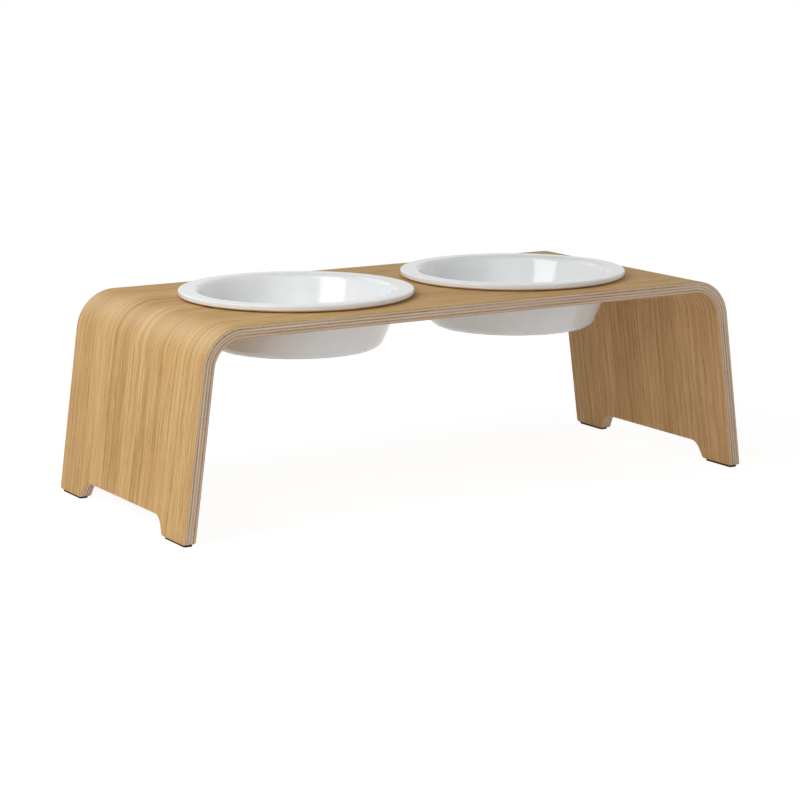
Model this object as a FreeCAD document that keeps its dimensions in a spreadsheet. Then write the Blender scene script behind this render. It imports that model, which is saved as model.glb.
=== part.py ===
import FreeCAD, Part
import os
import Sketcher

# Elevated dog feeder: a bench of moulded plywood carries two glazed bowls in round holes.
# The bench is nine veneers pressed into one bent board, and it stands on four foot pads.
# Millimetres. X runs along the bench, -Y is its front, Z is up, and Z = 0 is the floor.

# Driving dimensions: name, value, meaning.
DIMENSIONS = (
    ("top_height", 172.2, "top face of the board above the floor"),
    ("bend_radius", 35.6, "outer radius of the bend from top to leg"),
    ("leg_splay", 7.76, "lean of each leg from the vertical, degrees"),
    ("face_veneer", 0.55, "thickness of the oak veneer on each face"),
    ("long_ply", 1.4, "thickness of a core ply whose grain runs along the board"),
    ("cross_ply", 1.1, "thickness of a core ply whose grain runs across the board"),
    ("edge_ease", 0.35, "width of the sanded arris round the board's outer and inner face"),
    ("end_margin", 14.4, "flat wood between a bowl's rim and the bend"),
    ("side_margin", 18.2, "wood between a bowl's rim and the board's long edge"),
    ("foot_length", 40.7, "length of one foot along the leg's lower edge"),
    ("notch_height", 14.6, "height of the notch between a leg's two feet"),
    ("notch_flare", 28.5, "lean of the notch's sides from the vertical, degrees"),
    ("notch_round", 12.0, "radius of the notch's upper corners"),
    ("foot_round", 2.5, "radius of the feet's lower corners"),
    ("pad_thickness", 2.0, "thickness of a foot pad"),
    ("pad_end_inset", 2.6, "from a foot's end to its pad"),
    ("pad_side_inset", 1.0, "from a foot's side to its pad"),
    ("pad_round", 2.4, "radius of a pad's corners, seen from below"),
    ("pad_edge_round", 0.5, "radius of a pad's lower edge"),
    ("bowl_gap", 20.8, "gap between the two bowls' rims"),
    ("neck_radius", 90.1, "outer radius of a bowl's wall where it enters the board"),
    ("hole_clearance", 1.2, "play of the bowl's wall in its hole, all round"),
    ("seat_width", 4.4, "flat ring under the rim that lies on the board"),
    ("lip_overhang", 5.3, "rim beyond its seat"),
    ("rim_gap", 2.1, "lower corner of the lip above the board"),
    ("lip_thickness", 4.2, "thickness of the lip at its outer edge"),
    ("lip_round", 1.3, "radius of the lip's outer corners"),
    ("mouth_round", 6.0, "radius where the rim turns down into the bowl"),
    ("mouth_swell", 2.0, "how much thicker the bowl's wall is at the mouth than at its floor"),
    ("bowl_drop", 43.2, "depth of a bowl below the board's top face"),
    ("bowl_flare", 23.3, "lean of the bowl's wall from the vertical, degrees"),
    ("bowl_wall", 6.5, "thickness of the bowl's wall"),
    ("bowl_floor", 6.5, "top of the bowl's floor above its base"),
    ("base_round", 9.0, "outer radius between the bowl's wall and base"),
    ("well_round", 15.0, "inner radius between the bowl's wall and floor"),
    ("foot_ring_width", 15.5, "from the base's outer corner to the recess inside the foot ring"),
    ("foot_ring_height", 1.5, "height of the foot ring round the recess"),
    ("ring_round", 0.6, "radius of the foot ring's inner edge"),
)

# Veneers from the outer face to the inner one: node, dimension that gives the thickness.
LAYUP = (
    ("outer_face_veneer", "face_veneer"),
    ("long_ply_1", "long_ply"),
    ("cross_ply_1", "cross_ply"),
    ("long_ply_2", "long_ply"),
    ("cross_ply_2", "cross_ply"),
    ("long_ply_3", "long_ply"),
    ("cross_ply_3", "cross_ply"),
    ("long_ply_4", "long_ply"),
    ("inner_face_veneer", "face_veneer"),
)

SIDES = (("left", -1), ("right", 1))
ENDS = (("front", -1), ("back", 1))

# A rounded corner takes at most this share of the thickness that it rounds.
ROUND_SHARE = 0.45
# A sanded edge takes at most this share of its veneer.
EASE_SHARE = 0.8
# Lengths below this are nothing, in mm.
TOUCH = 1e-4
# A cut has to take away at least this much, in mm3.
LEAST_CUT = 1.0

# A sketch's origin, and the points of a line or circle.
ORIGIN = (-1, 1)
START, END, CENTRE = range(1, 4)

# Places that several pieces share, as expressions of the dimensions.
RIM_RADIUS = "(dims.neck_radius + dims.seat_width + dims.lip_overhang)"
HOLE_RADIUS = "(dims.neck_radius + dims.hole_clearance)"
BOWL_X = f"({RIM_RADIUS} + dims.bowl_gap / 2)"
BEND_X = f"({BOWL_X} + {RIM_RADIUS} + dims.end_margin)"
HALF_DEPTH = f"({RIM_RADIUS} + dims.side_margin)"
NOTCH_TOP = "(dims.pad_thickness + dims.notch_height)"
NOTCH_HALF_FOOT = f"({HALF_DEPTH} - dims.foot_length)"
NOTCH_HALF_TOP = f"({NOTCH_HALF_FOOT} - dims.notch_height * tan(dims.notch_flare))"
BOARD_THICKNESS = "(" + " + ".join(f"dims.{size}" for _, size in LAYUP) + ")"


def top_at(depth):
    """Height of the board's top, depth below its upper face."""
    return f"(dims.top_height - ({depth}))"


def bend_at(depth):
    """Radius of the bend, depth inside its outer face."""
    return f"(dims.bend_radius - ({depth}))"


def corner_at(depth):
    """X where the top and the leg would meet without the bend."""
    return f"({BEND_X} + {bend_at(depth)} * tan((90 - dims.leg_splay) / 2))"


def foot_at(depth):
    """X of the leg at its lower end."""
    return f"({corner_at(depth)} + ({top_at(depth)} - dims.pad_thickness) * tan(dims.leg_splay))"


def make_sheet(doc):
    sheet = doc.addObject("Spreadsheet::Sheet", "dims")
    for row, (name, value, meaning) in enumerate(DIMENSIONS, start=1):
        sheet.set(f"A{row}", name)
        sheet.set(f"B{row}", str(value))
        sheet.set(f"C{row}", meaning)
        sheet.setAlias(f"B{row}", name)
    doc.recompute()
    return sheet


class Maker:
    """Builds bodies in one document, with every size bound to the sheet."""

    def __init__(self, doc):
        self.doc = doc
        self.sheet = make_sheet(doc)

    def value(self, expression):
        return float(self.sheet.evalExpression(expression))

    def body(self, name):
        body = self.doc.addObject("PartDesign::Body", name)
        body.Label = name
        return body

    def sketch(self, body, name, role):
        sketch = body.newObject("Sketcher::SketchObject", f"{body.Name}_{name}")
        plane = next(f for f in body.Origin.OriginFeatures if f.Role == role)
        sketch.AttachmentSupport = (plane, [""])
        sketch.MapMode = "FlatFace"
        return sketch

    def drive(self, sketch, kind, points, expression):
        """Adds a constraint whose value follows an expression."""
        index = sketch.addConstraint(Sketcher.Constraint(kind, *points, self.value(expression)))
        name = f"size_{len(sketch.Constraints)}_{len(sketch.Geometry)}"
        sketch.renameConstraint(index, name)
        sketch.setExpression(f"Constraints.{name}", expression)

    def place(self, sketch, geometry, point, x, y):
        """Holds a point at x, y. A negative coordinate is measured from the point to the origin."""
        for kind, expression in (("DistanceX", x), ("DistanceY", y)):
            if self.value(expression) < 0:
                self.drive(sketch, kind, (geometry, point, *ORIGIN), f"-({expression})")
            else:
                self.drive(sketch, kind, (*ORIGIN, geometry, point), expression)

    def outline(self, body, name, role, corners):
        """Sketch of a closed outline. Each corner is x, y and the radius that rounds it, or None."""
        sketch = self.sketch(body, name, role)
        spots = [FreeCAD.Vector(self.value(x), self.value(y), 0) for x, y, _ in corners]
        for i, spot in enumerate(spots):
            sketch.addGeometry(Part.LineSegment(spots[i - 1], spot))
        for i, (x, y, _) in enumerate(corners):
            following = (i + 1) % len(corners)
            sketch.addConstraint(Sketcher.Constraint("Coincident", i, END, following, START))
            self.place(sketch, i, END, x, y)
        for i, (_, _, radius) in enumerate(corners):
            if radius is None:
                continue
            arc = sketch.GeometryCount
            sketch.fillet(i, END, self.value(radius), True, True)
            self.drive(sketch, "Radius", (arc,), radius)
        return sketch

    def feature(self, body, kind, name, profile):
        feature = body.newObject(f"PartDesign::{kind}", f"{body.Name}_{name}")
        feature.Profile = profile
        return feature

    def cut_through(self, body, name, profile, side, reverse=False):
        """Pocket through everything, which has to take material away."""
        before = body.Shape.Volume
        pocket = self.feature(body, "Pocket", name, profile)
        pocket.SideType = side
        pocket.Type = "ThroughAll"
        pocket.Type2 = "ThroughAll"
        pocket.Reversed = reverse
        self.doc.recompute()
        if body.Shape.Volume > before - LEAST_CUT:
            raise RuntimeError(f"{pocket.Name} cuts nothing")


def board_profile(make, body, depth, thickness):
    """Side view of one veneer: a flat top, two concentric bends and two leaning legs."""
    inside = f"{depth} + {thickness}"
    foot_z = "dims.pad_thickness"
    corners = (
        (foot_at(depth), foot_z, None),
        (corner_at(depth), top_at(depth), bend_at(depth)),
        (f"-{corner_at(depth)}", top_at(depth), bend_at(depth)),
        (f"-{foot_at(depth)}", foot_z, None),
        (f"-{foot_at(inside)}", foot_z, None),
        (f"-{corner_at(inside)}", top_at(inside), bend_at(inside)),
        (corner_at(inside), top_at(inside), bend_at(inside)),
        (foot_at(inside), foot_z, None),
    )
    return make.outline(body, "profile", "XZ_Plane", corners)


def bowl_holes(make, body):
    """Two round holes, each a clearance wider than the bowl's neck."""
    sketch = make.sketch(body, "holes", "XY_Plane")
    up = FreeCAD.Vector(0, 0, 1)
    for _, side in SIDES:
        centre = FreeCAD.Vector(side * make.value(BOWL_X), 0, 0)
        hole = sketch.addGeometry(Part.Circle(centre, up, make.value(HOLE_RADIUS)))
        sketch.addConstraint(Sketcher.Constraint("Horizontal", hole, CENTRE, *ORIGIN))
        ends = (*ORIGIN, hole, CENTRE) if side > 0 else (hole, CENTRE, *ORIGIN)
        make.drive(sketch, "DistanceX", ends, BOWL_X)
        make.drive(sketch, "Radius", (hole,), HOLE_RADIUS)
    make.cut_through(body, "bowl_holes", sketch, "One side", reverse=True)


def leg_notches(make, body):
    """A flared notch through both legs leaves two feet on each."""
    foot_z = "dims.pad_thickness"
    corners = (
        (f"-{NOTCH_HALF_FOOT}", foot_z, None),
        (f"-{NOTCH_HALF_TOP}", NOTCH_TOP, "dims.notch_round"),
        (NOTCH_HALF_TOP, NOTCH_TOP, "dims.notch_round"),
        (NOTCH_HALF_FOOT, foot_z, None),
        (NOTCH_HALF_FOOT, "0", None),
        (f"-{NOTCH_HALF_FOOT}", "0", None),
    )
    sketch = make.outline(body, "notch", "YZ_Plane", corners)
    make.cut_through(body, "notches", sketch, "Two sides")


def foot_corners(make, body):
    """Rounds the feet's lower corners, at the notch and at the board's long edges."""
    sole = make.value("dims.pad_thickness")
    edges = []
    for i, edge in enumerate(body.Shape.Edges, start=1):
        box = edge.BoundBox
        if max(box.YLength, box.ZLength, abs(box.ZMin - sole)) < TOUCH:
            edges.append(f"Edge{i}")
    fillet = body.newObject("PartDesign::Fillet", f"{body.Name}_foot_corners")
    fillet.Base = (fillet.BaseFeature, edges)
    fillet.setExpression("Radius", "dims.foot_round")
    make.doc.recompute()


def eased_edges(make, body, height):
    """Takes the arris off the face whose flat part lies at that height, round the board and its holes."""
    level = make.value(height)
    edges = []
    for i, edge in enumerate(body.Shape.Edges, start=1):
        box = edge.BoundBox
        if box.XLength > TOUCH and max(box.ZLength, abs(box.ZMin - level)) < TOUCH:
            edges.append(f"Edge{i}")
    arris = body.newObject("PartDesign::Chamfer", f"{body.Name}_eased_edges")
    arris.Base = (arris.BaseFeature, edges)
    arris.setExpression("Size", f"min(dims.edge_ease; {EASE_SHARE} * dims.face_veneer)")
    make.doc.recompute()


def veneer(make, name, depth, thickness):
    """One bent veneer of the bench. Its outer face lies depth inside the board's outer face."""
    body = make.body(name)
    profile = board_profile(make, body, depth, thickness)
    board = make.feature(body, "Pad", "board", profile)
    board.SideType = "Symmetric"
    board.setExpression("Length", f"2 * {HALF_DEPTH}")
    make.doc.recompute()
    bowl_holes(make, body)
    leg_notches(make, body)
    foot_corners(make, body)
    return body


def bench(make):
    """The veneers lie face on face, each starting where the one outside it ends."""
    bodies = []
    depth = "0"
    for name, size in LAYUP:
        bodies.append(veneer(make, name, depth, f"dims.{size}"))
        depth = f"{depth} + dims.{size}"
    eased_edges(make, bodies[0], top_at("0"))
    eased_edges(make, bodies[-1], top_at(BOARD_THICKNESS))
    return bodies


def bowl(make, name, side):
    """Glazed bowl: flared wall, rim that lies on the board, and a foot ring under the base."""
    body = make.body(name)
    flare = "tan(dims.bowl_flare)"
    skin = "dims.bowl_wall / cos(dims.bowl_flare)"
    seat_z = "dims.bowl_drop"
    lip_z = f"({seat_z} + dims.rim_gap)"
    rim_z = f"({lip_z} + dims.lip_thickness)"
    base_r = f"(dims.neck_radius - {seat_z} * {flare})"
    recess_r = f"({base_r} - dims.foot_ring_width)"
    mouth_r = f"(dims.neck_radius + ({rim_z} - {seat_z}) * {flare} - {skin} - dims.mouth_swell)"
    well_r = f"(dims.neck_radius - ({seat_z} - dims.bowl_floor) * {flare} - {skin})"
    lip_round = f"min(dims.lip_round; {ROUND_SHARE} * dims.lip_thickness)"
    ring_round = f"min(dims.ring_round; {ROUND_SHARE} * dims.foot_ring_height)"
    corners = (
        ("0", "dims.foot_ring_height", None),
        (recess_r, "dims.foot_ring_height", None),
        (recess_r, "0", ring_round),
        (base_r, "0", "dims.base_round"),
        ("dims.neck_radius", seat_z, None),
        ("dims.neck_radius + dims.seat_width", seat_z, None),
        (RIM_RADIUS, lip_z, lip_round),
        (RIM_RADIUS, rim_z, lip_round),
        (mouth_r, rim_z, "dims.mouth_round"),
        (well_r, "dims.bowl_floor", "dims.well_round"),
        ("0", "dims.bowl_floor", None),
    )
    sketch = make.outline(body, "profile", "XZ_Plane", corners)
    turned = make.feature(body, "Revolution", "turned", sketch)
    turned.ReferenceAxis = (sketch, ["V_Axis"])
    body.setExpression("Placement.Base.x", f"{side} * {BOWL_X}")
    body.setExpression("Placement.Base.z", "dims.top_height - dims.bowl_drop")
    make.doc.recompute()
    return body


def foot_pad(make, name, side, end):
    """Soft pad under one foot, set in a little from the wood all round."""
    body = make.body(name)
    foot_width = f"({BOARD_THICKNESS} / cos(dims.leg_splay))"
    half_width = f"({foot_width} / 2 - dims.pad_side_inset)"
    half_length = "(dims.foot_length / 2 - dims.pad_end_inset)"
    corners = [
        (f"{x} * {half_width}", f"{y} * {half_length}", "dims.pad_round")
        for x, y in ((-1, -1), (1, -1), (1, 1), (-1, 1))
    ]
    sketch = make.outline(body, "outline", "XY_Plane", corners)
    slab = make.feature(body, "Pad", "slab", sketch)
    slab.setExpression("Length", "dims.pad_thickness")
    make.doc.recompute()
    edges = [f"Edge{i}" for i, e in enumerate(slab.Shape.Edges, start=1) if e.BoundBox.ZMax < TOUCH]
    fillet = body.newObject("PartDesign::Fillet", f"{body.Name}_lower_edge")
    fillet.Base = (slab, edges)
    fillet.setExpression("Radius", f"min(dims.pad_edge_round; {ROUND_SHARE} * dims.pad_thickness)")
    body.setExpression("Placement.Base.x", f"{side} * ({foot_at('0')} - {foot_width} / 2)")
    body.setExpression("Placement.Base.y", f"{end} * ({HALF_DEPTH} - dims.foot_length / 2)")
    make.doc.recompute()
    return body


def check(doc, bodies):
    """Stops if any object failed or any piece is not one sound solid."""
    for thing in doc.Objects:
        if "Invalid" in thing.State or "Error" in thing.State:
            raise RuntimeError(f"{thing.Name} failed: {thing.State}")
    for body in bodies:
        shape = body.Shape
        if shape.isNull() or not shape.isValid() or len(shape.Solids) != 1:
            raise RuntimeError(f"{body.Label} is not one valid solid")


def main():
    doc = FreeCAD.newDocument("elevated_feeder")
    make = Maker(doc)
    bodies = bench(make)
    for name, side in SIDES:
        bodies.append(bowl(make, f"{name}_bowl", side))
        for end_name, end in ENDS:
            bodies.append(foot_pad(make, f"{name}_{end_name}_pad", side, end))
    doc.recompute()
    check(doc, bodies)
    os.makedirs("parts", exist_ok=True)
    for body in bodies:
        body.Shape.exportStep(f"parts/{body.Label}.step")
        box = body.Shape.BoundBox
        print(f"{body.Label}: {body.Shape.Volume:.0f} mm3, z {box.ZMin:.2f} to {box.ZMax:.2f}")


main()
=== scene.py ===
"""Finish, light and camera for an elevated dog feeder.

A bench of bent oak plywood carries two glazed bowls. Metres, in the frame of the solids: X runs
along the bench, -Y is its front and Z is up.
"""

import math

import bpy
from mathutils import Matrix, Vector


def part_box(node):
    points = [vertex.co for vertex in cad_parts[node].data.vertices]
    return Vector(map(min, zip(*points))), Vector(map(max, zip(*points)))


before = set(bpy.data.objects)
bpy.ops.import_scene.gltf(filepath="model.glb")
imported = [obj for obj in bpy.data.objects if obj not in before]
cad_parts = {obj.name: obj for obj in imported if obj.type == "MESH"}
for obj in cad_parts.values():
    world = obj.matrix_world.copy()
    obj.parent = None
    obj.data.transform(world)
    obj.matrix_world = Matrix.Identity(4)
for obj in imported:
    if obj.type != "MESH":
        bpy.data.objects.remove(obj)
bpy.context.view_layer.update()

MM = 0.001

# The bent board, as the solids have it.
BEND_RADIUS = 35.6 * MM
LEG_SPLAY = math.radians(7.76)
BOARD_THICKNESS = 10.0 * MM
BOARD_LOW, BOARD_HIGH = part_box("outer_face_veneer")
FULL_BEND = math.pi / 2 - LEG_SPLAY
BEND_Z = BOARD_HIGH.z - BEND_RADIUS
BEND_X = (
    BOARD_HIGH.x
    - (BOARD_HIGH.z - BOARD_LOW.z) * math.tan(LEG_SPLAY)
    - BEND_RADIUS * math.tan(FULL_BEND / 2)
)

# Veneers from the outer face inwards, with the depth in mm where each one starts and its thickness.
LAYERS = (
    ("outer_face_veneer", 0.0, 0.55),
    ("long_ply_1", 0.55, 1.4),
    ("cross_ply_1", 1.95, 1.1),
    ("long_ply_2", 3.05, 1.4),
    ("cross_ply_2", 4.45, 1.1),
    ("long_ply_3", 5.55, 1.4),
    ("cross_ply_3", 6.95, 1.1),
    ("long_ply_4", 8.05, 1.4),
    ("inner_face_veneer", 9.45, 0.55),
)
BOWLS = ("left_bowl", "right_bowl")
PADS = ("left_front_pad", "left_back_pad", "right_front_pad", "right_back_pad")

# Camera of the photograph.
CAMERA_LENS = 112.74
CAMERA_SENSOR = 36.0
CAMERA_PLACE = Vector((-1.13518, -1.82786, 0.49422))
CAMERA_TARGET = Vector((-0.007265, 0.0, 0.07113))

# Light: name, azimuth and elevation in degrees as seen from the bench, distance, width, height,
# power, and whether glossy surfaces mirror it.
LIGHT_TARGET = Vector((0.0, 0.0, 0.1))
SOFTBOXES = (
    ("key_softbox", -83.0, 40.0, 1.2, 0.6, 0.75, 6.8, True),
    ("front_softbox", -20.0, 45.0, 2.4, 1.6, 1.2, 5.6, True),
    ("right_softbox", 92.0, 7.0, 1.8, 1.2, 0.5, 9.0, False),
    ("back_softbox", 192.0, 35.0, 2.4, 1.6, 1.2, 6.4, True),
    ("low_left_softbox", -40.0, 20.0, 2.4, 1.6, 0.7, 7.4, False),
    ("low_right_softbox", 45.0, 5.0, 2.4, 1.6, 0.5, 5.8, False),
    ("low_back_softbox", 180.0, 9.0, 2.4, 1.6, 0.5, 5.5, False),
    ("floor_bounce", 0.0, -90.0, 0.098, 2.4, 2.4, 1.1, False),
)
# Strength of the world as an even fill.
FILL_LIGHT = 0.12
WHITE = (1.0, 1.0, 1.0, 1.0)
# The floor looks plain white beyond FLOOR_FAR. Within FLOOR_NEAR a share of what shows is its own
# glow, and the rest is lit, so that it keeps the bench's shadow.
FLOOR_SIZE = 40.0
FLOOR_COLOUR = (0.9, 0.9, 0.9, 1.0)
FLOOR_NEAR = 0.55
FLOOR_FAR = 1.5
GLOW_SHARE = 0.75
GLOW_STRENGTH = 1.2


def srgb(red, green, blue):
    """Linear colour of an 8-bit screen colour."""
    channels = []
    for value in (red, green, blue):
        share = value / 255
        channels.append(share / 12.92 if share <= 0.04045 else ((share + 0.055) / 1.055) ** 2.4)
    return (*channels, 1.0)


# How far one step of a noise's seed moves it along each axis.
SEED_STRIDE = (1.0, 1.7, 2.3)


class Tree:
    """A shader node tree, with short calls for the nodes that the finishes need."""

    def __init__(self, tree):
        self.tree = tree

    def feed(self, socket, value):
        if isinstance(value, bpy.types.NodeSocket):
            self.tree.links.new(value, socket)
        else:
            socket.default_value = value

    def add(self, kind, settings=(), **inputs):
        """New node. An input's name has an underscore for each space."""
        node = self.tree.nodes.new(kind)
        for name, value in dict(settings).items():
            setattr(node, name, value)
        for name, value in inputs.items():
            self.feed(node.inputs[name.replace("_", " ")], value)
        return node

    def calculate(self, kind, operation, values):
        node = self.add(kind, {"operation": operation})
        for socket, value in zip(node.inputs, values):
            self.feed(socket, value)
        return node.outputs

    def math(self, operation, *values):
        return self.calculate("ShaderNodeMath", operation, values)[0]

    def vector(self, operation, *values):
        outputs = self.calculate("ShaderNodeVectorMath", operation, values)
        return outputs["Value" if operation in ("DOT_PRODUCT", "LENGTH") else "Vector"]

    def split(self, vector):
        return self.add("ShaderNodeSeparateXYZ", Vector=vector).outputs

    def join(self, x, y, z):
        return self.add("ShaderNodeCombineXYZ", X=x, Y=y, Z=z).outputs[0]

    def ramp(self, value, low, high, start=0.0, end=1.0):
        """Smooth step of a value from start at low to end at high."""
        node = self.add(
            "ShaderNodeMapRange",
            {"interpolation_type": "SMOOTHSTEP"},
            Value=value, From_Min=low, From_Max=high, To_Min=start, To_Max=end,
        )
        return node.outputs[0]

    def colours(self, value, stops):
        """Colour ramp with a stop for each (place, colour)."""
        node = self.add("ShaderNodeValToRGB", Fac=value)
        marks = node.color_ramp.elements
        while len(marks) < len(stops):
            marks.new(1.0)
        for mark, (place, colour) in zip(marks, stops):
            mark.position = place
            mark.color = colour
        return node.outputs["Color"]

    def mix(self, factor, first, second):
        """Mix of two colours."""
        node = self.add("ShaderNodeMix", {"data_type": "RGBA"})
        for index, value in ((0, factor), (6, first), (7, second)):
            self.feed(node.inputs[index], value)
        return node.outputs[2]

    def blend(self, factor, first, second):
        """Mix of two shaders."""
        node = self.add("ShaderNodeMixShader", Fac=factor)
        for index, shader in ((1, first), (2, second)):
            self.feed(node.inputs[index], shader)
        return node.outputs[0]

    def noise(self, place, size, detail=2.0, roughness=0.5, seed=0.0):
        """Noise whose blobs measure size, given along each axis of place."""
        scaled = self.vector("MULTIPLY", place, tuple(1 / s for s in size))
        moved = self.vector("ADD", scaled, tuple(seed * stride for stride in SEED_STRIDE))
        node = self.add(
            "ShaderNodeTexNoise", Vector=moved, Scale=1.0, Detail=detail, Roughness=roughness
        )
        return node.outputs["Fac"]

    def swing(self, value, amount):
        """A noise value as a swing of at most amount about nothing."""
        return self.math("MULTIPLY", self.math("SUBTRACT", value, 0.5), 2 * amount)

    def fold(self, operation, values):
        result = values[0]
        for value in values[1:]:
            result = self.math(operation, result, value)
        return result

    def total(self, *values):
        return self.fold("ADD", values)

    def product(self, *values):
        return self.fold("MULTIPLY", values)


def new_material(name):
    material = bpy.data.materials.new(name)
    material.use_nodes = True
    material.node_tree.nodes.clear()
    return material, Tree(material.node_tree)


def surface(tree, height, height_scale, strength, **inputs):
    """Principled shader with a bump from height, wired to the material's output."""
    bump = tree.add("ShaderNodeBump", Height=height, Distance=height_scale, Strength=strength)
    shader = tree.add("ShaderNodeBsdfPrincipled", Normal=bump.outputs[0], **inputs)
    tree.add("ShaderNodeOutputMaterial", Surface=shader.outputs[0])


def board_group():
    """Place on the bent board in mm: along the grain, across it, and below the outer face.

    Facing is 1 on the board's two faces and 0 on its edges.
    """
    group = bpy.data.node_groups.new("board_place", "ShaderNodeTree")
    group.interface.new_socket(name="Place", in_out="OUTPUT", socket_type="NodeSocketVector")
    group.interface.new_socket(name="Facing", in_out="OUTPUT", socket_type="NodeSocketFloat")
    tree = Tree(group)
    coordinates = tree.add("ShaderNodeTexCoord")
    x, y, z = tree.split(coordinates.outputs["Object"])
    side = tree.math("SIGN", x)
    reach = tree.math("ABSOLUTE", x)
    out = tree.math("SUBTRACT", reach, BEND_X)
    up = tree.math("SUBTRACT", z, BEND_Z)
    turn = tree.math("MAXIMUM", tree.math("ARCTAN2", out, up), 0.0)
    turn = tree.math("MINIMUM", turn, FULL_BEND)
    sine = tree.math("SINE", turn)
    cosine = tree.math("COSINE", turn)
    from_bend = tree.total(tree.product(out, sine), tree.product(up, cosine))
    depth = tree.math("SUBTRACT", BEND_RADIUS, from_bend)
    on_leg = tree.math(
        "SUBTRACT", tree.product(out, math.sin(LEG_SPLAY)), tree.product(up, math.cos(LEG_SPLAY))
    )
    flat = tree.math("MINIMUM", reach, BEND_X)
    bent = tree.product(turn, BEND_RADIUS - BOARD_THICKNESS / 2)
    run = tree.total(flat, bent, tree.math("MAXIMUM", on_leg, 0.0))
    place = tree.join(tree.product(side, run), y, depth)
    normal_x, _, normal_z = tree.split(coordinates.outputs["Normal"])
    facing = tree.total(tree.product(normal_x, side, sine), tree.product(normal_z, cosine))
    result = tree.add("NodeGroupOutput")
    tree.feed(result.inputs["Place"], tree.vector("MULTIPLY", place, (1 / MM,) * 3))
    tree.feed(result.inputs["Facing"], tree.math("ABSOLUTE", facing))
    return group


BOARD_PLACE = board_group()


def board_place(tree):
    node = tree.add("ShaderNodeGroup", {"node_tree": BOARD_PLACE})
    return node.outputs["Place"], node.outputs["Facing"]


# How well the rounded normal agrees with the true one where an arris starts and where it is full.
ARRIS_START = 0.99
ARRIS_FULL = 0.90
ARRIS_SAMPLES = 4


def edge_wear(tree, radius):
    """1 on an arris, where the surface turns within radius."""
    rounded = tree.add("ShaderNodeBevel", {"samples": ARRIS_SAMPLES}, Radius=radius)
    geometry = tree.add("ShaderNodeNewGeometry")
    agreement = tree.vector("DOT_PRODUCT", rounded.outputs[0], geometry.outputs["Normal"])
    return tree.ramp(agreement, ARRIS_START, ARRIS_FULL)


WOOD_IOR = 1.45
# Size of a noise, in mm, along an axis in which it hardly changes.
ENDLESS = 900

# Colours of an oak leaf: pale, mean and deep wood, and its dark growth lines.
OUTER_OAK = (srgb(223, 187, 130), srgb(206, 165, 109), srgb(185, 145, 91), srgb(146, 103, 58))
# The inner leaf's colours are lighter than the outer's: painted light, in place of light that the
# shaded inner face lacks.
INNER_OAK_PAINTED_LIGHT = (srgb(231, 194, 143), srgb(216, 174, 123), srgb(193, 153, 102), srgb(144, 104, 66))
# Colours that both leaves share: pale flecks, open pores and the leaf's cut edge.
OAK_FLECK = srgb(241, 213, 164)
OAK_PORE = srgb(104, 72, 40)
OAK_EDGE = srgb(142, 108, 70)
OAK_ROUGHNESS = 0.63
OAK_ARRIS = 0.8 * MM
# Width of a year's growth in the leaf, and how unevenly it grew, in mm.
RING_WIDTH = 7.4
RING_UNEVEN = 9.0
# A broad darker streak of heartwood, in mm across the board: its middle, half its width and its
# soft border.
HEART_MIDDLE = 25.0
HEART_HALF = 17.0
HEART_BORDER = 9.0
# Round the bends the outer leaf is painted paler, a painted sheen that stands in for the highlight
# of light mirrored
# there: its colour, how much of it shows at a bend's middle, and how far it reaches from there, in
# mm along the board.
OAK_PAINTED_SHEEN = srgb(243, 222, 185)
OUTER_PAINTED_SHEEN = 0.21
PAINTED_SHEEN_REACH = 19.0
BEND_MIDDLE = (BEND_X + FULL_BEND / 2 * (BEND_RADIUS - BOARD_THICKNESS / 2)) / MM


def heartwood(tree, across):
    """1 inside the broad darker streak."""
    off = tree.math("ABSOLUTE", tree.math("SUBTRACT", across, HEART_MIDDLE))
    return tree.ramp(off, HEART_HALF + HEART_BORDER, HEART_HALF - HEART_BORDER)


def painted_sheen_at_bend(tree, along):
    """1 at the middle of either bend, where the painted sheen shows most."""
    off = tree.math("SUBTRACT", tree.math("ABSOLUTE", along), BEND_MIDDLE)
    return tree.ramp(tree.math("ABSOLUTE", off), PAINTED_SHEEN_REACH, 0.0)


def winding_grain(tree, place, seed):
    """The place on the leaf with its fibres straightened, and the distance across them."""
    along, across, depth = tree.split(place)
    drift = tree.swing(tree.noise(place, (320, 90, ENDLESS), 1.0, seed=seed), 9.0)
    waver = tree.swing(tree.noise(place, (85, 24, ENDLESS), 1.0, seed=seed + 1), 1.8)
    jitter = tree.swing(tree.noise(place, (15, 4, ENDLESS), 2.0, seed=seed + 2), 0.5)
    winding = tree.total(across, drift, waver, jitter)
    return tree.join(along, winding, depth), winding


def growth_lines(tree, grain, winding, seed):
    """Dark lines of early wood: each starts sharp and fades into the year's growth."""
    uneven = tree.swing(tree.noise(grain, (ENDLESS, 19, ENDLESS), 2.0, seed=seed), RING_UNEVEN)
    years = tree.math("DIVIDE", tree.total(winding, uneven), RING_WIDTH)
    phase = tree.math("FRACT", years)
    pulse = tree.product(tree.ramp(phase, 0.0, 0.06), tree.ramp(phase, 0.30, 0.08))
    vigour = tree.noise(grain, (95, 6.5, ENDLESS), 3.0, 0.6, seed=seed + 1)
    return tree.product(pulse, tree.ramp(vigour, 0.38, 0.64))


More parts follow.
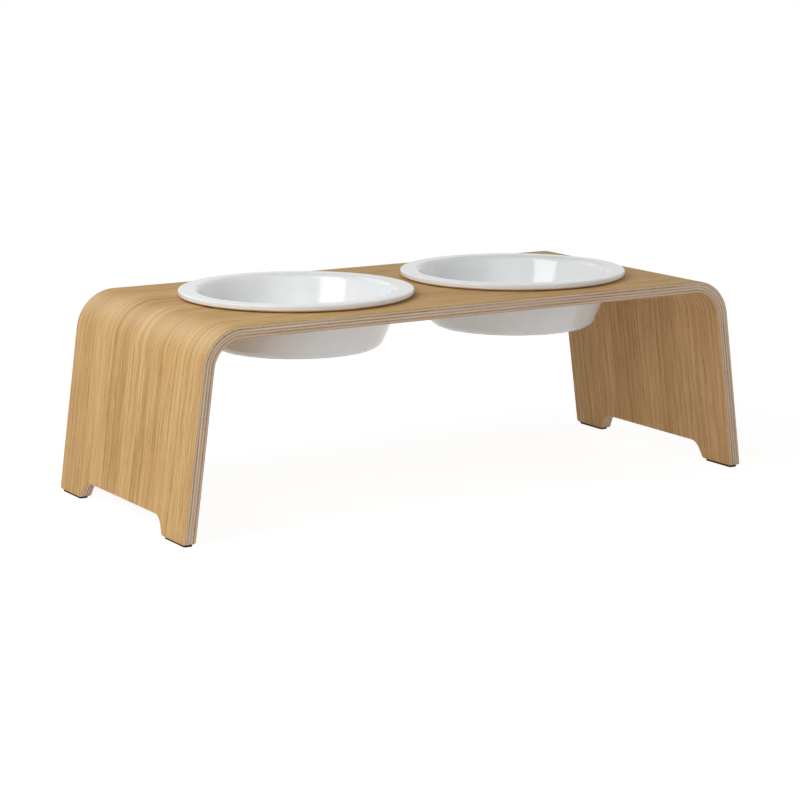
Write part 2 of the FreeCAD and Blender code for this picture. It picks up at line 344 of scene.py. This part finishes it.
def oak(name, colours, seed, sheen_share):
    """Satin oak veneer: straight grain, soft streaks, dark lines, pale flecks and open pores."""
    pale, mean, deep, dark = colours
    material, tree = new_material(name)
    place, facing = board_place(tree)
    grain, winding = winding_grain(tree, place, seed)

    heart = heartwood(tree, winding)
    bands = tree.noise(grain, (1300, 30, ENDLESS), 1.0, seed=seed + 3)
    streaks = tree.noise(grain, (260, 3.6, ENDLESS), 3.0, 0.6, seed=seed + 4)
    fibres = tree.noise(grain, (34, 0.9, ENDLESS), 3.0, 0.6, seed=seed + 5)
    tone = tree.total(
        0.5,
        tree.swing(bands, 0.2),
        tree.swing(streaks, 0.42),
        tree.swing(fibres, 0.55),
        tree.product(heart, -0.14),
    )
    wood = tree.colours(tone, ((0.2, deep), (0.5, mean), (0.8, pale)))

    years = growth_lines(tree, grain, winding, seed + 6)
    strokes = tree.noise(grain, (75, 1.7, ENDLESS), 2.0, 0.55, seed=seed + 8)
    patches = tree.noise(grain, (120, 16, ENDLESS), 1.0, seed=seed + 9)
    strokes = tree.product(tree.ramp(strokes, 0.58, 0.65), tree.ramp(patches, 0.40, 0.62))
    lines = tree.math("MAXIMUM", years, strokes)
    strength = tree.total(0.42, tree.product(heart, 0.25), tree.swing(bands, -0.25))
    wood = tree.mix(tree.product(lines, strength), wood, dark)
    flecks = tree.noise(grain, (120, 1.3, ENDLESS), 2.0, 0.55, seed=seed + 12)
    flecks = tree.ramp(flecks, 0.57, 0.66)
    wood = tree.mix(tree.product(flecks, 0.5), wood, OAK_FLECK)

    pores = tree.ramp(tree.noise(grain, (8, 0.3, ENDLESS), 1.0, seed=seed + 10), 0.60, 0.65)
    pores = tree.product(pores, tree.total(0.3, tree.product(lines, 0.7)))
    wood = tree.mix(tree.product(pores, 0.7), wood, OAK_PORE)

    # Painted sheen: a paler colour round the bends in place of a highlight.
    if sheen_share:
        along = tree.split(place)[0]
        wood = tree.mix(tree.product(painted_sheen_at_bend(tree, along), sheen_share), wood, OAK_PAINTED_SHEEN)
    worn = tree.product(edge_wear(tree, OAK_ARRIS), 0.35)
    wood = tree.mix(worn, wood, pale)
    on_edge = tree.ramp(facing, 0.6, 0.3)
    wood = tree.mix(tree.product(on_edge, 0.75), wood, OAK_EDGE)

    height = tree.total(
        tree.swing(fibres, 0.3), tree.product(pores, -1.0), tree.product(lines, -0.4)
    )
    roughness = tree.total(
        OAK_ROUGHNESS, tree.swing(streaks, 0.06), tree.product(lines, 0.12), tree.product(worn, 0.2)
    )
    surface(
        tree, height, 0.12 * MM, 0.35,
        Base_Color=wood, Roughness=roughness, IOR=WOOD_IOR, Specular_IOR_Level=0.16,
    )
    return material


# Long grain of the core: pale, mean, pink and dark wood.
CORE_PALE = srgb(245, 227, 201)
CORE_MEAN = srgb(229, 207, 177)
CORE_PINK = srgb(216, 187, 165)
CORE_DARK = srgb(187, 157, 126)
CORE_ROUGHNESS = 0.62
# How far the whole of a long core ply leans to the pink, where it does.
BLUSH = {"long_ply_1": 0.25, "long_ply_3": 0.1, "long_ply_4": 0.55}
# The dark glue line on each side of a ply: its colour, how much of it shows, how far it lies below
# the wood as a share of the bump, and its width in mm.
GLUE = srgb(129, 102, 74)
GLUE_SHARE = 0.45
GLUE_SINK = -0.5
GLUE_LINE = 0.14


def glue_lines(tree, place, start, thickness):
    """1 in the glue at either face of a ply."""
    depth = tree.split(place)[2]
    upper = tree.ramp(depth, start, start + GLUE_LINE, 1.0, 0.0)
    lower = tree.ramp(depth, start + thickness - GLUE_LINE, start + thickness)
    return tree.math("MAXIMUM", upper, lower)


def long_core(name, seed, start, thickness, blush):
    """Core ply with its grain along the board: its edge shows long pale streaks."""
    material, tree = new_material(name)
    place, _ = board_place(tree)
    streaks = tree.noise(place, (38, 3.0, 0.34), 3.0, 0.6, seed=seed)
    patches = tree.noise(place, (150, 40, 2.5), 1.0, seed=seed + 1)
    pores = tree.ramp(tree.noise(place, (4.5, 0.3, 0.14), 1.0, seed=seed + 2), 0.60, 0.72)
    wood = tree.colours(streaks, ((0.25, CORE_DARK), (0.48, CORE_MEAN), (0.75, CORE_PALE)))
    wood = tree.mix(tree.ramp(patches, 0.38, 0.68, blush, 0.8), wood, CORE_PINK)
    wood = tree.mix(tree.product(pores, 0.45), wood, CORE_DARK)
    glue = glue_lines(tree, place, start, thickness)
    wood = tree.mix(tree.product(glue, GLUE_SHARE), wood, GLUE)
    height = tree.total(
        tree.swing(streaks, 0.5), tree.product(pores, -0.8), tree.product(glue, GLUE_SINK)
    )
    roughness = tree.total(CORE_ROUGHNESS, tree.swing(streaks, 0.08), tree.product(pores, 0.15))
    surface(
        tree, height, 0.1 * MM, 0.4,
        Base_Color=wood, Roughness=roughness, IOR=WOOD_IOR, Specular_IOR_Level=0.2,
    )
    return material


# End grain of the core: pale, mean and dark wood.
CROSS_PALE = srgb(214, 187, 158)
CROSS_MEAN = srgb(177, 148, 118)
CROSS_DARK = srgb(131, 103, 77)
CROSS_ROUGHNESS = 0.7


def cross_core(name, seed, start, thickness):
    """Core ply with its grain across the board: its front edge shows dark end grain."""
    material, tree = new_material(name)
    place, _ = board_place(tree)
    vessels = tree.ramp(tree.noise(place, (0.32, 9.0, 0.26), 1.0, seed=seed), 0.54, 0.68)
    rings = tree.noise(place, (2.6, 200, 1.4), 2.0, 0.6, seed=seed + 1)
    patches = tree.noise(place, (110, 200, 4.0), 2.0, seed=seed + 2)
    wood = tree.colours(rings, ((0.25, CROSS_DARK), (0.5, CROSS_MEAN), (0.8, CROSS_PALE)))
    wood = tree.mix(tree.ramp(patches, 0.36, 0.64, 0.0, 0.8), wood, CORE_PINK)
    wood = tree.mix(tree.product(vessels, 0.5), wood, CROSS_DARK)
    glue = glue_lines(tree, place, start, thickness)
    wood = tree.mix(tree.product(glue, GLUE_SHARE), wood, GLUE)
    height = tree.total(
        tree.product(vessels, -1.0), tree.swing(rings, 0.3), tree.product(glue, GLUE_SINK)
    )
    roughness = tree.total(CROSS_ROUGHNESS, tree.product(vessels, 0.15))
    surface(
        tree, height, 0.12 * MM, 0.45,
        Base_Color=wood, Roughness=roughness, IOR=WOOD_IOR, Specular_IOR_Level=0.15,
    )
    return material


# Glaze where it is thick, its cool mottling, where it runs thin on the arrises with a beige that is
# partly a painted reflection of the wood, and the bare clay of the foot.
GLAZE_WHITE = srgb(243, 244, 244)
GLAZE_COOL = srgb(239, 241, 242)
GLAZE_THIN_AND_WOOD_REFLECTION = srgb(226, 220, 210)
BISCUIT = srgb(214, 202, 184)
BISCUIT_SPECK = srgb(168, 146, 120)
GLAZE_ROUGHNESS = 0.11
GLAZE_IOR = 1.52
GLAZE_ARRIS = 1.2 * MM
# The foot ring is wiped clean of glaze up to this height above the base.
BARE_FOOT = 1.2 * MM


def even(size):
    """Size in mm of a noise that is the same along each axis of a place in metres."""
    return (size * MM,) * 3


def porcelain(name, base):
    """Glossy white glaze with slow ripples, thin on the arrises with a beige that is partly a
    painted reflection of the wood, and a bare biscuit foot ring.
    """
    material, tree = new_material(name)
    place = tree.add("ShaderNodeTexCoord").outputs["Object"]
    height_here = tree.split(place)[2]
    bare = tree.ramp(height_here, base + BARE_FOOT, base + 0.6 * BARE_FOOT)
    mottle = tree.noise(place, even(14), 3.0, seed=3.0)
    ripple = tree.noise(place, even(9), 1.0, seed=5.0)
    pits = tree.ramp(tree.noise(place, even(1.1), 1.0, seed=7.0), 0.74, 0.80)
    clay = tree.noise(place, even(0.5), 3.0, 0.7, seed=9.0)
    glaze = tree.mix(tree.ramp(mottle, 0.3, 0.7), GLAZE_WHITE, GLAZE_COOL)
    # Beige on the arrises: glaze running thin, and a painted reflection of the oak that the lip's
    # lower edge mirrors.
    glaze = tree.mix(tree.product(edge_wear(tree, GLAZE_ARRIS), 0.4), glaze, GLAZE_THIN_AND_WOOD_REFLECTION)
    biscuit = tree.mix(tree.ramp(clay, 0.58, 0.7), BISCUIT, BISCUIT_SPECK)
    colour = tree.mix(bare, glaze, biscuit)
    roughness = tree.total(
        GLAZE_ROUGHNESS, tree.swing(mottle, 0.02), tree.product(pits, 0.1), tree.product(bare, 0.6)
    )
    rough_clay = tree.product(bare, tree.swing(clay, 1.0))
    height = tree.total(tree.swing(ripple, 1.0), tree.product(pits, -0.6), rough_clay)
    surface(
        tree, height, 0.04 * MM, 0.12,
        Base_Color=colour, Roughness=roughness, IOR=GLAZE_IOR,
    )
    return material


RUBBER_DARK = srgb(44, 37, 31)
RUBBER_DUST = srgb(84, 74, 64)
RUBBER_CELL = srgb(26, 22, 18)
RUBBER_ROUGHNESS = 0.78
RUBBER_IOR = 1.48
RUBBER_ARRIS = 0.5 * MM


def rubber(name):
    """Dense dark foam rubber with a fine open skin and dusty edges."""
    material, tree = new_material(name)
    place = tree.add("ShaderNodeTexCoord").outputs["Object"]
    cells = tree.noise(place, even(0.35), 3.0, 0.65, seed=11.0)
    dust = tree.noise(place, even(6), 3.0, 0.6, seed=13.0)
    worn = edge_wear(tree, RUBBER_ARRIS)
    dusty = tree.total(tree.ramp(dust, 0.45, 0.75, 0.0, 0.35), tree.product(worn, 0.3))
    colour = tree.mix(dusty, RUBBER_DARK, RUBBER_DUST)
    colour = tree.mix(tree.ramp(cells, 0.6, 0.4, 0.0, 0.5), colour, RUBBER_CELL)
    roughness = tree.total(RUBBER_ROUGHNESS, tree.swing(cells, 0.12))
    surface(
        tree, tree.swing(cells, 1.0), 0.08 * MM, 0.6,
        Base_Color=colour, Roughness=roughness, IOR=RUBBER_IOR, Specular_IOR_Level=0.3,
    )
    return material


# Distance between the noise seeds of neighbouring veneers.
SEED_STEP = 11.0


def finish_of(number, name, start, thickness):
    """Material of one veneer of the board."""
    seed = SEED_STEP * number
    if name == "outer_face_veneer":
        return oak("outer_oak", OUTER_OAK, seed, OUTER_PAINTED_SHEEN)
    if name == "inner_face_veneer":
        return oak("inner_oak", INNER_OAK_PAINTED_LIGHT, seed, 0.0)
    if name.startswith("long"):
        return long_core(f"long_core_{number}", seed, start, thickness, BLUSH.get(name, 0.0))
    return cross_core(f"cross_core_{number}", seed, start, thickness)


def dress(node, material):
    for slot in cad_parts[node].material_slots:
        slot.material = material


def dress_all():
    for number, (name, start, thickness) in enumerate(LAYERS, start=1):
        dress(name, finish_of(number, name, start, thickness))
    for name in BOWLS:
        dress(name, porcelain(f"glaze_{name}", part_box(name)[0].z))
    pad_finish = rubber("foam_rubber")
    for name in PADS:
        dress(name, pad_finish)


def seen_directly(tree):
    """1 for rays that show the background: from the camera, in a reflection or through glass."""
    path = tree.add("ShaderNodeLightPath").outputs
    reflected = tree.math("MAXIMUM", path["Is Glossy Ray"], path["Is Transmission Ray"])
    return tree.math("MAXIMUM", path["Is Camera Ray"], reflected)


def floor_material():
    """Pale floor that looks white and keeps the bench's shadow, and is clear from below."""
    material, tree = new_material("floor_white")
    place = tree.add("ShaderNodeTexCoord").outputs["Object"]
    distance = tree.vector("LENGTH", place)
    share = tree.ramp(distance, FLOOR_NEAR, FLOOR_FAR, GLOW_SHARE, 1.0)
    strength = tree.ramp(distance, FLOOR_NEAR, FLOOR_FAR, GLOW_STRENGTH, 1.0)
    lit = tree.add("ShaderNodeBsdfDiffuse", Color=FLOOR_COLOUR).outputs[0]
    glow = tree.add("ShaderNodeEmission", Strength=strength).outputs[0]
    clear = tree.add("ShaderNodeBsdfTransparent").outputs[0]
    shown = tree.blend(tree.product(seen_directly(tree), share), lit, glow)
    below = tree.add("ShaderNodeNewGeometry").outputs["Backfacing"]
    camera = tree.add("ShaderNodeLightPath").outputs["Is Camera Ray"]
    finish = tree.blend(tree.product(below, camera), shown, clear)
    tree.add("ShaderNodeOutputMaterial", Surface=finish)
    return material


def make_floor():
    half = FLOOR_SIZE / 2
    mesh = bpy.data.meshes.new("floor")
    corners = [(-half, -half, 0), (half, -half, 0), (half, half, 0), (-half, half, 0)]
    mesh.from_pydata(corners, [], [(0, 1, 2, 3)])
    mesh.materials.append(floor_material())
    floor = bpy.data.objects.new("floor", mesh)
    bpy.context.scene.collection.objects.link(floor)


def make_world():
    """Even fill light, which looks white where it shows as background."""
    world = bpy.data.worlds.new("studio")
    world.use_nodes = True
    world.node_tree.nodes.clear()
    tree = Tree(world.node_tree)
    strength = tree.ramp(seen_directly(tree), 0.0, 1.0, FILL_LIGHT, 1.0)
    backdrop = tree.add("ShaderNodeBackground", Color=WHITE, Strength=strength)
    tree.add("ShaderNodeOutputWorld", Surface=backdrop.outputs[0])
    bpy.context.scene.world = world


def towards(azimuth, elevation):
    """Direction from the bench to something at that azimuth and elevation, in degrees."""
    turn = math.radians(azimuth)
    rise = math.radians(elevation)
    level = math.cos(rise)
    return Vector((math.sin(turn) * level, -math.cos(turn) * level, math.sin(rise)))


def aim(item, place, target):
    item.location = place
    item.rotation_euler = (target - place).to_track_quat("-Z", "Y").to_euler()


def make_lights():
    for name, azimuth, elevation, distance, width, height, power, mirrored in SOFTBOXES:
        light = bpy.data.lights.new(name, "AREA")
        light.shape = "RECTANGLE"
        light.size = width
        light.size_y = height
        light.energy = power
        lamp = bpy.data.objects.new(name, light)
        lamp.visible_camera = False
        lamp.visible_glossy = mirrored
        bpy.context.scene.collection.objects.link(lamp)
        aim(lamp, LIGHT_TARGET + towards(azimuth, elevation) * distance, LIGHT_TARGET)


def make_camera():
    lens = bpy.data.cameras.new("camera")
    lens.lens = CAMERA_LENS
    lens.sensor_width = CAMERA_SENSOR
    camera = bpy.data.objects.new("camera", lens)
    bpy.context.scene.collection.objects.link(camera)
    aim(camera, CAMERA_PLACE, CAMERA_TARGET)
    bpy.context.scene.camera = camera


dress_all()
make_floor()
make_world()
make_lights()
make_camera()
bpy.context.scene.view_settings.view_transform = "Standard"
